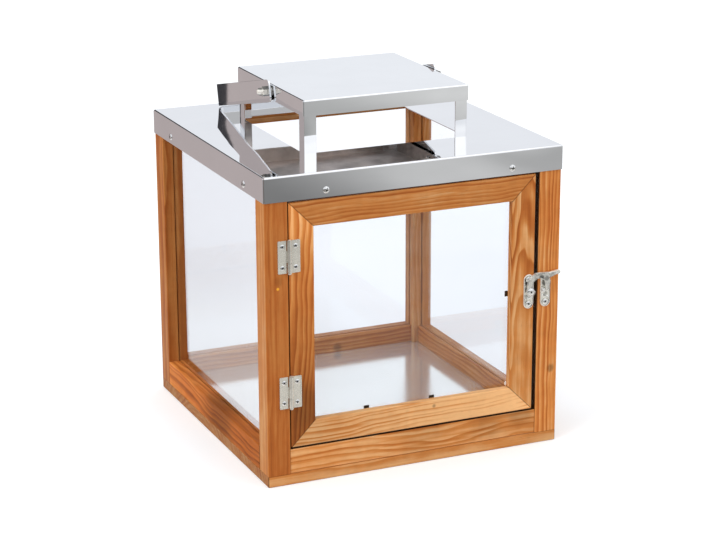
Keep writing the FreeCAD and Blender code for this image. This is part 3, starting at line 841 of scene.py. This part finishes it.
@dataclass
class SheetTray:
    """A square tray of thin bent sheet, upside down, whose flanges end just short of its corners.

    Attributes:
        name: The piece's name.
        node: The CAD node that it stands for.
        outside: The finish that shows.
        sheet: The metal's thickness, in mm.
        bend: The outer radius of its bends, in mm.
        vent: Half the side of the square hole in it, in mm, or zero.
        slit: How far its flanges end from the corner, in mm.
        steps: How many faces there are round a bend.
    """

    name: str
    node: str
    outside: Steel
    sheet: float
    bend: float
    vent: float = 0.0
    slit: float = 0.8
    steps: int = 6

    def build(self) -> None:
        """Makes the flat top with its vent, then the flanges, and then the sheet's thickness."""
        _, (half, _, top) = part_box(self.node)
        flat = half - self.bend * MM
        piece = primitive(bpy.ops.mesh.primitive_plane_add, self.name, size=2 * flat, location=(0, 0, top))
        if self.vent:
            with editing(piece):
                bpy.ops.mesh.inset(thickness=flat - self.vent * MM)
                bpy.ops.mesh.delete(type="FACE")
        for axis in (0, 1):
            for side in (-1, 1):
                self._flange(piece, axis, side)
        coat(piece, self.outside, MILL_STEEL)
        modify(piece, "SOLIDIFY", thickness=self.sheet * MM, offset=-1.0, material_offset=1,
               use_even_offset=True)
        even(piece)
        stand_in(piece, self.node, "polished_steel", self.outside, MILL_STEEL)

    def _flange(self, piece: bpy.types.Object, axis: int, side: int) -> None:
        """Bends one edge of the sheet round and down, widening it towards its neighbours.

        Args:
            piece: The sheet.
            axis: 0 for a flange that faces along X, 1 for one that faces along Y.
            side: Which way it faces.
        """
        (_, _, low), (half, _, top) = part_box(self.node)
        bend = self.bend * MM
        flat = half - bend

        def at_rim(a: Vector, b: Vector) -> bool:
            """True for the edge that the flange grows from."""
            return all(abs(p[axis] - side * flat) < TINY and abs(p[2] - top) < TINY for p in (a, b))

        angles = [math.radians(90.0 * step / self.steps) for step in range(1, self.steps + 1)]
        stations = [(bend * math.sin(a), bend * (1 - math.cos(a))) for a in angles] + [(bend, top - low)]
        out, drop, length = 0.0, 0.0, flat
        pick(piece, "EDGE", at_rim)
        with editing(piece, whole=False):
            for next_out, next_drop in stations:
                next_length = max(flat, flat + next_out - self.slit * MM)
                move, grow = [0.0, 0.0, drop - next_drop], [1.0, 1.0, 1.0]
                move[axis] = side * (next_out - out)
                grow[1 - axis] = next_length / length
                bpy.ops.mesh.extrude_edges_move(TRANSFORM_OT_translate={"value": move})
                bpy.ops.transform.resize(value=grow, center_override=ORIGIN,
                                         constraint_axis=(axis == 1, axis == 0, False))
                out, drop, length = next_out, next_drop, next_length


@dataclass
class ScrewHeads:
    """Domed screw heads with a cross, for the roof's flange, the hinges or the latch.

    Attributes:
        name: The piece's name.
        node: The CAD node that they stand for.
        slot: The record's material slot.
        places: The middle of each head's seat, in mm.
        radius: A head's radius, in mm.
        height: How far its dome rises, in mm.
        cross: The width of the cross's slots, in mm.
        reach: The length of the slots, as a share of the radius.
        faces: The way that each head faces, as an angle about Z in degrees, where 0 faces the front.
        turn: How far the first cross is turned, in degrees.
        turn_more: How much further each next cross is turned, in degrees.
    """

    name: str
    node: str
    slot: str
    places: tuple[Place, ...]
    radius: float
    height: float
    cross: float = 0.75
    reach: float = 1.1
    faces: tuple[float, ...] = (0.0,) * 4
    turn: float = 25.0
    turn_more: float = 37.0

    def _head(self) -> bpy.types.Object:
        """Makes one head at the origin that faces the front.

        Returns:
            The head.
        """
        head = primitive(bpy.ops.mesh.primitive_uv_sphere_add, self.name, segments=32, ring_count=16,
                         radius=self.radius * MM, location=ORIGIN, rotation=(math.radians(90), 0, 0))
        with editing(head):
            bpy.ops.mesh.bisect(plane_co=ORIGIN, plane_no=(0, 1, 0), clear_outer=True, use_fill=True)
            bpy.ops.mesh.select_all(action="SELECT")
            bpy.ops.transform.resize(value=(1.0, self.height / self.radius, 1.0), center_override=ORIGIN)
        coat(head, BRIGHT, CROSS_SHADE)
        length = self.radius * self.reach
        for width, rise in ((length, self.cross), (self.cross, length)):
            cutter = primitive(bpy.ops.mesh.primitive_cube_add, "cutter", size=1.0,
                               location=(0, -self.height * 0.8 * MM, 0),
                               scale=(width * MM, self.height * 1.2 * MM, rise * MM))
            coat(cutter, BRIGHT, CROSS_SHADE)
            cutter.data.polygons.foreach_set("material_index", [1] * len(cutter.data.polygons))
            modify(head, "BOOLEAN", operation="DIFFERENCE", object=cutter, solver="EXACT",
                   material_mode="INDEX")
            bpy.data.objects.remove(cutter)
        return head

    def build(self) -> None:
        """Makes all the heads as one piece."""
        head = self._head()
        copies = []
        for number, (place, face) in enumerate(zip(self.places, self.faces)):
            only(head)
            bpy.ops.object.duplicate()
            copies.append(bpy.context.object)
            with editing(copies[-1]):
                for degrees, axis in ((self.turn + self.turn_more * number, "Y"), (face, "Z")):
                    bpy.ops.transform.rotate(value=-math.radians(degrees), orient_axis=axis,
                                             center_override=ORIGIN)
                bpy.ops.transform.translate(value=tuple(c * MM for c in place))
        bpy.data.objects.remove(head)
        only(copies[0])
        for one in copies:
            one.select_set(True)
        bpy.ops.object.join()
        piece = named(self.name)
        smooth(piece)
        stand_in(piece, self.node, self.slot, BRIGHT, CROSS_SHADE)


@dataclass
class Roof:
    """The roof tray, the cap on its four legs, and the screws in the roof's flange.

    Attributes:
        vent: Half the side of the roof's vent, in mm.
        flange: How far the flange's faces are from the middle, in mm.
        screw_level: The screws' height, in mm.
        front_screws: The middle of the front's two screws and how far apart they are, in mm, as at the back.
        side_screws: The same for the left and right sides.
    """

    vent: float = 69.0
    flange: float = 124.8
    screw_level: float = 230.6
    front_screws: Pair = (3.0, 155.5)
    side_screws: Pair = (-1.2, 165.2)

    def build(self) -> None:
        """Makes the two trays, the legs and the screws."""
        SheetTray("roof_sheet", "roof_tray", ROOF_STEEL, sheet=0.7, bend=1.4, vent=self.vent).build()
        SheetTray("cap_sheet", "cap_tray", POLISHED, sheet=1.0, bend=1.3).build()
        for corner in ("front_left", "front_right", "back_left", "back_right"):
            rounded("cap_leg_" + corner, "leg_" + corner, "polished_steel", POLISHED, width=0.12, segments=1)
        places, faces = [], []
        for sign in (-1, 1):
            for end in (-0.5, 0.5):
                x, y = (centre + end * apart for centre, apart in (self.front_screws, self.side_screws))
                places += [(x, sign * self.flange, self.screw_level),
                           (sign * self.flange, y, self.screw_level)]
                faces += [0.0 if sign < 0 else 180.0, sign * 90.0]
        ScrewHeads("flange_screws", "roof_screws", "fastener_steel", tuple(places), 2.7, 1.15,
                   faces=tuple(faces)).build()


@dataclass
class Handle:
    """The strap handle and its two pivots.

    Attributes:
        easing: The width of the strap's eased edges, in mm.
        pivot_easing: The same for the bolts, washers and nuts.
    """

    easing: float = 0.14
    pivot_easing: float = 0.15

    def build(self) -> None:
        """Makes the strap, and the bolts, washers and nuts that it turns on."""
        rounded("handle", "bail_strap", "polished_steel", POLISHED, width=self.easing)
        for kind in ("bolts", "washers", "acorn_nuts"):
            rounded("handle_" + kind, "pivot_" + kind, "fastener_steel", TURNED, width=self.pivot_easing)


@dataclass
class Hinges:
    """The door's two hinges.

    Attributes:
        line: Where the pins stand, in mm from the middle.
        front: Where the leaves' faces lie, in mm.
        levels: The height of each hinge's middle, in mm.
        screw_run: How far a leaf's screws are from the line, in mm.
        screw_rise: How far they are above and below the middle, in mm.
    """

    line: float = -105.1
    front: float = -124.9
    levels: Pair = (182.5, 75.4)
    screw_run: float = 5.3
    screw_rise: float = 8.2

    def build(self) -> None:
        """Makes the leaves, the pins and the screws."""
        for level in ("upper", "lower"):
            for part in ("post", "door"):
                rounded(f"hinge_{level}_{part}_leaf", f"{level}_{part}_leaf", "nickel_plate", NICKEL,
                        width=0.16)
        rounded("hinge_pins", "hinge_pin_pair", "nickel_plate", WORN_NICKEL, width=0.1)
        for part, sign in (("post", -1), ("door", 1)):
            x = self.line + sign * self.screw_run
            places = tuple((x, self.front, level + end * self.screw_rise)
                           for level in self.levels for end in (-1, 1))
            ScrewHeads(f"{part}_leaf_screws", f"hinge_{part}_screws", "nickel_plate", places,
                       radius=1.9, height=0.55).build()


@dataclass
class Latch:
    """The swing hook with its plate on the door, and the keeper on the post.

    Attributes:
        level: The height of the pivot and of both plates' middles, in mm.
        front: Where the plates' faces lie, in mm.
        pivot: Where the rivet's head sits, from the left and from the front, in mm.
        plates: Where the screws of the door's plate and of the post's plate are, in mm.
        screw_rise: How far the screws are above and below the middle, in mm.
        tail: The length of the hook's tail that turns over, in mm.
        slices: How many slices it turns in, each 1 mm long.
        twist: How far each slice turns from the last, in degrees.
        lift: How far it rises, in mm.
    """

    level: float = 129.0
    front: float = -125.0
    pivot: Pair = (98.0, -126.7)
    plates: Pair = (96.9, 111.7)
    screw_rise: float = 10.0
    tail: float = 10.0
    slices: int = 7
    twist: float = -2.5
    lift: float = 0.2

    def _rim(self, piece: bpy.types.Object, rim: float, line: float) -> None:
        """Gives a stamped piece's front a rubbed rim, painted lighter as a highlight, with a dark line of
        dirt and painted shade inside it.

        Args:
            piece: The piece, whose materials are its rim's, its line's and its middle's.
            rim: The rim's width, in mm.
            line: The line's width, in mm.
        """
        pick(piece, "FACE", lambda centre, normal: normal.y < -0.9)
        with editing(piece, whole=False):
            # The rim is painted lighter as a highlight, and the line inside it carries dirt and painted
            # shade.
            for index, width in ((1, rim), (2, line)):
                bpy.ops.mesh.inset(thickness=width * MM, use_even_offset=True)
                piece.active_material_index = index
                bpy.ops.object.material_slot_assign()
        even(piece)

    def _twist_tail(self, hook: bpy.types.Object) -> None:
        """Turns the last of the hook's tail over, as a rest for the thumb.

        Args:
            hook: The hook.
        """
        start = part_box("latch_hook")[1][0] - self.tail * MM
        with editing(hook):
            for cut in range(self.slices + 1):
                bpy.ops.mesh.select_all(action="SELECT")
                bpy.ops.mesh.bisect(plane_co=(start + cut * MM, 0, 0), plane_no=(1, 0, 0))
        for cut in range(self.slices):
            pick(hook, "VERT", lambda point: point.x > start + (cut + 0.5) * MM)
            turned = [vertex.co for vertex in hook.data.vertices if vertex.select]
            centre = tuple(sum(turned, Vector()) / len(turned))
            with editing(hook, whole=False):
                bpy.ops.transform.rotate(value=math.radians(self.twist), orient_axis="X",
                                         center_override=centre)
                bpy.ops.transform.translate(value=(0.0, 0.0, self.lift * MM))
        even(hook)

    def build(self) -> None:
        """Makes the two plates, the hook and its rivet, the stud and the screws."""
        for node, name in (("latch_plate", "door_plate"), ("keeper_plate", "post_plate")):
            self._rim(rounded(node, name, "nickel_plate", RUBBED_RIM_HIGHLIGHT, CREASE_DIRT_AND_SHADE, STAMPED), 0.75, 0.3)
        hook = rounded("latch_hook", "swing_hook", "nickel_plate", RUBBED_RIM_HIGHLIGHT, CREASE_DIRT_AND_SHADE, SHADED_HOOK_NICKEL)
        self._rim(hook, 0.5, 0.2)
        self._twist_tail(hook)
        ScrewHeads("hook_rivet", "latch_pivot", "nickel_plate", ((*self.pivot, self.level),), 3.1, 1.05,
                   cross=0.9, reach=0.5).build()
        rounded("keeper_stud", "hook_stud", "nickel_plate", BRIGHT, width=0.2)
        pairs = {"latch_plate_screws": "door_plate_screws", "keeper_screws": "post_plate_screws"}
        for (node, name), x in zip(pairs.items(), self.plates):
            places = tuple((x, self.front, self.level + end * self.screw_rise) for end in (-1, 1))
            ScrewHeads(name, node, "nickel_plate", places, 1.9, 0.5).build()


@dataclass
class Glazing:
    """The four panes, the points that hold the door's, and a drop of sealant in a corner of the door.

    Attributes:
        panes: The panes' nodes.
        drop: Where the drop is, in mm.
        drop_radius: Its radius before it is drawn out, in mm.
    """

    panes: tuple[str, ...] = ("pane_left", "pane_right", "pane_back", "door_pane")
    drop: Place = (81.4, -118.0, 52.6)
    drop_radius: float = 1.5

    def sealant(self) -> None:
        """Makes a small drop of clear-drying sealant that squeezed out of the rebate."""
        at = tuple(c * MM for c in self.drop)
        piece = primitive(bpy.ops.mesh.primitive_ico_sphere_add, "sealant_drop", subdivisions=2,
                          radius=self.drop_radius * MM, location=at)
        with editing(piece):
            bpy.ops.transform.resize(value=(0.75, 0.5, 1.7), center_override=at)
            bpy.ops.transform.vertex_random(offset=0.25 * MM, seed=4)
            bpy.ops.mesh.vertices_smooth(factor=0.4, repeat=2)
        modify(piece, "SUBSURF", levels=2, render_levels=2)
        smooth(piece, 60.0)
        coat(piece, Painted("dried_sealant", (0.86, 0.84, 0.8), 0.3))
        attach(piece, "door")

    def build(self) -> None:
        """Dresses the panes and the points, and adds the drop."""
        for node in self.panes:
            dress(node, Glass())
        dress("glazing_points", Painted("black_point", (0.012, 0.011, 0.01), 0.45, metallic=0.3))
        self.sealant()


@dataclass
class Studio:
    """The floor, the light and the camera.

    Attributes:
        floor_half: Half the floor's width, in metres.
        camera_at: The camera's place, in metres.
        camera_turn: Its turn, in degrees.
        lens: Its focal length, in millimetres on a 36 mm sensor.
        card: The left, right, near and upper edges of the dark card that the metal reflects, in metres.
        target: What the lamps face, in metres.
    """

    floor_half: float = 6.0
    camera_at: Place = (-0.680286, -1.559329, 0.646338)
    camera_turn: Place = (72.93385, 0.204, -23.80661)
    lens: float = 109.30005
    card: tuple[float, float, float, float] = (-0.4425, 0.1, 1.1, 1.0)
    target: Place = (0.0, 0.0, 0.15)

    def _mirrored_floor(self, tree: Tree, x: Value, y: Value) -> Value:
        """What metal sees of the floor: cloudy near by, unevenly lit in front, and darker elsewhere.

        Args:
            tree: The floor's tree.
            x: The place to the right, in metres.
            y: The place to the back, in metres.

        Returns:
            The colour.
        """
        reach = (x * x + y * y) ** 0.5
        near = 1.0 - tree.step(reach, 0.74, 0.84)
        turn = tree.one("ARCTAN2", x, y) * DEGREES
        side = tree.band(turn, (-176.0, -168.0), (-80.0, -60.0)) * tree.step(reach, 0.3, 0.42)
        # Painted light on the floor as metal sees it: lighter to the right.
        painted_side_light = tree.step(x, 0.2, 0.42) * 0.36 - tree.step(x, 0.44, 0.56) * tree.step(y, -1.12, -0.98) * 0.14
        far = (1.0 - tree.step(y, -1.18, -0.98)) * (tree.step(x, 0.42, 0.62) * 0.2 - 0.13)
        ahead = (0.2 + painted_side_light * 0.87 + far) * (0.86 + tree.noise(tree.position(), 7.0) * 0.28)
        cloud = 0.34 + tree.noise(tree.position(), 16.0, 3.0) * 0.46
        front = 1.0 - tree.step(y, -0.3, -0.15)
        ahead = tree.mix(near, tree.join(ahead, ahead * 1.005, ahead * 0.995),
                         tree.join(cloud, cloud, cloud * 0.96))
        behind = tree.mix(tree.step(reach, 0.3, 0.55), (0.9, 0.9, 0.9), (0.43, 0.375, 0.37))
        return tree.mix(side, tree.mix(front, behind, ahead), (0.2, 0.192, 0.185))

    def floor(self) -> None:
        """Makes the pale floor, which the camera sees as white and metal sees as a studio's floor."""
        floor = primitive(bpy.ops.mesh.primitive_plane_add, "floor", size=2 * self.floor_half,
                          location=(0, 0, -0.2 * MM))
        tree = Tree(bpy.data.materials.new("floor_paper"))
        place = tree.split(tree.position())
        x, y = place["X"], place["Y"]
        through, panes = tree.path("Is Transmission Ray"), tree.path("Transmission Depth")
        shade = tree.mix(tree.clamp(panes) * (1.0 - through), self._mirrored_floor(tree, x, y),
                         (0.8, 0.82, 0.84))
        outside = tree.clamp(tree.path("Glossy Depth")) * (1.0 - tree.step(panes, 2.5, 3.5))
        seen = tree.one("MAXIMUM", tree.path("Is Camera Ray"), through * (1.0 - outside))
        # Painted shadow: through the panes the floor is darker to the left and up to a little behind the
        # middle, standing in for the lantern's shadow.
        painted_floor_shadow = (1.0 - tree.step(x, -0.1, 0.16)) * (1.0 - tree.step(y, 0.26, 0.62)) * through
        paper = tree.mix(through, (0.84, 0.865, 0.885), (0.41, 0.43, 0.45))
        paper = tree.mix(painted_floor_shadow, paper, (0.16, 0.175, 0.195))
        glow = tree.mix(through, (0.24, 0.24, 0.24), (0.71, 0.71, 0.71))
        white = tree.add("AddShader", {
            0: tree.add("BsdfDiffuse", {"Color": paper}),
            1: tree.add("Emission", {"Color": glow, "Strength": 1.0}),
        })
        rest = tree.add("MixShader", {
            0: tree.one("MAXIMUM", tree.path("Is Glossy Ray"), through),
            1: tree.add("BsdfDiffuse", {"Color": (0.56, 0.53, 0.54, 1.0)}),
            2: tree.add("BsdfDiffuse", {"Color": shade}),
        })
        floor.data.materials.append(tree.surface(tree.add("MixShader", {0: seen, 1: rest, 2: white})))

    def dark_card(self) -> None:
        """Stands a dark card behind the lantern, which only the metal sees."""
        left, right, near, high = self.card
        centre = ((left + right) / 2, near, high / 2)
        card = primitive(bpy.ops.mesh.primitive_plane_add, "dark_card", size=1.0, location=centre,
                         rotation=(math.radians(90), 0, 0))
        with editing(card):
            bpy.ops.transform.resize(value=(right - left, 1.0, high), center_override=centre)
        coat(card, Painted("card_black", (0.03, 0.03, 0.035), 0.8))
        for ray in ("camera", "diffuse", "transmission", "volume_scatter", "shadow"):
            setattr(card, "visible_" + ray, False)

    def world(self) -> None:
        """Fills the room with even white light, and lets metal see darker sides and bright windows."""
        world = bpy.data.worlds.new("room")
        bpy.context.scene.world = world
        tree = Tree(world)
        way = tree.split(tree.add("TexCoord", output="Generated"))
        x, y, z = way["X"], way["Y"], way["Z"]
        turn = tree.one("ARCTAN2", x, y) * DEGREES
        left_back = tree.band(turn, (-75.0, -55.0), (-14.0, -6.0)) * (1.0 - tree.step(z, 0.42, 0.62))
        front = tree.band(turn, (-178.0, -168.0), (-75.0, -60.0)) * (1.0 - tree.step(z, 0.08, 0.2))
        ahead = tree.band(x, (0.27, 0.31), (0.46, 0.5)) * tree.step(z, 0.34, 0.4)
        ahead = ahead * (1.0 - tree.step(y, 0.1, 0.3))
        window = tree.band(x, (0.31, 0.33), (0.45, 0.47)) * (1.0 - tree.step(y, -0.82, -0.76))
        beam = tree.band(turn, (138.0, 146.0), (164.0, 172.0)) * tree.band(z, (0.53, 0.57), (0.64, 0.68))
        sky = (0.905, 0.93, 0.975)
        for zone, colour in (
            (left_back, (0.5, 0.44, 0.435)), (front, (0.12, 0.115, 0.11)), (ahead, (1.45, 1.46, 1.48)),
            (window * tree.band(z, (0.2, 0.24), (0.36, 0.4)), (1.36, 1.37, 1.38)), (beam, (0.6, 0.6, 0.6)),
        ):
            sky = tree.mix(zone, sky, colour)
        indoors, mirrored = (tree.clamp(tree.path(kind + " Depth")) for kind in ("Transmission", "Glossy"))
        sky = tree.mix(indoors, sky, tree.mix(mirrored, (1.02, 1.04, 1.06), (1.24, 1.19, 1.155)))
        shade = tree.mix(tree.path("Is Glossy Ray"), (1.0, 1.0, 1.0), sky)
        tree.surface(tree.add("Background", {"Color": shade, "Strength": 1.0}),
                     "OutputWorld")

    def lamp(self, name: str, at: Place, size: float, watts: float) -> None:
        """Hangs a square soft lamp that faces the lantern.

        Args:
            name: The lamp's name.
            at: Its place, in metres.
            size: Its width, in metres.
            watts: Its power.
        """
        data = bpy.data.lights.new(name, "AREA")
        data.size = size
        data.energy = watts
        lamp = bpy.data.objects.new(name, data)
        lamp.location = at
        lamp.rotation_euler = (Vector(self.target) - Vector(at)).to_track_quat("-Z", "Y").to_euler()
        lamp.visible_glossy = False
        bpy.context.scene.collection.objects.link(lamp)

    def camera(self) -> None:
        """Places the camera at the photograph's angle."""
        data = bpy.data.cameras.new("camera")
        data.sensor_width = 36.0
        data.lens = self.lens
        camera = bpy.data.objects.new("camera", data)
        camera.location = self.camera_at
        camera.rotation_euler = tuple(math.radians(a) for a in self.camera_turn)
        bpy.context.scene.collection.objects.link(camera)
        bpy.context.scene.camera = camera

    def build(self) -> None:
        """Sets the stage."""
        self.floor()
        self.dark_card()
        self.world()
        self.lamp("key", (-2.3, -0.9, 1.7), size=1.6, watts=30.0)
        self.lamp("fill", (1.8, -1.6, 1.2), size=1.6, watts=6.0)
        self.camera()
        bpy.context.scene.view_settings.view_transform = "Standard"


def main() -> None:
    """Builds the lantern's looks in order."""
    logging.basicConfig(level=logging.INFO, format="%(message)s")
    for part in (WoodFrame(), Roof(), Handle(), Hinges(), Latch(), Glazing(), Studio()):
        part.build()
        LOG.info("%s is ready", type(part).__name__)


if __name__ == "__main__":
    main()
